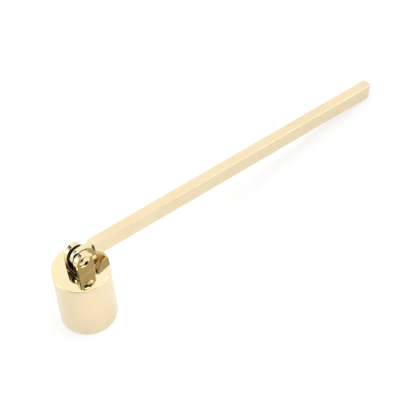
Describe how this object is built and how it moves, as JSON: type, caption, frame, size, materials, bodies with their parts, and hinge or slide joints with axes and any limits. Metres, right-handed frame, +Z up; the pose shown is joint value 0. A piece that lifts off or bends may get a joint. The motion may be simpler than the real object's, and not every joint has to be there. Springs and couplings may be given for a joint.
{
  "type": "candle snuffer",
  "caption": "Flat-topped cylindrical bell on a clevis hinge at the end of a long flat metal handle, for putting out candle flames.",
  "frame": {"origin": "centre of the bell's open mouth, on the surface that the bell stands on", "axes": "+X runs out along the handle seen from above, +Z is up out of the bell's flat top, +Y is along the hinge pin"},
  "size_m": [0.2011, 0.027, 0.048],
  "materials": {
    "satin_gold": "satin pale gold plating",
    "polished_gold": "mirror-polished pale gold plating",
    "handle_gold": "pale gold plating, finely brushed along its length",
    "screw_gold": "plated screw, turned finish",
    "washer_black": "plain black nylon"
  },
  "bodies": {
    "bell": {"bell_wall": "satin_gold", "bell_cap": "polished_gold", "hinge_clevis": "polished_gold", "cap_screw": "screw_gold", "pivot_post": "polished_gold", "pivot_screw": "polished_gold", "friction_washer_near": "washer_black", "friction_washer_far": "washer_black"},
    "handle": {"handle_bar": "handle_gold"}
  },
  "joints": [
    {"name": "handle_hinge", "type": "hinge", "parent": "bell", "child": "handle", "pos_m": [0, 0, 0.0432], "axis": [0, 1, 0], "range_deg": [-211, 7]}
  ]
}
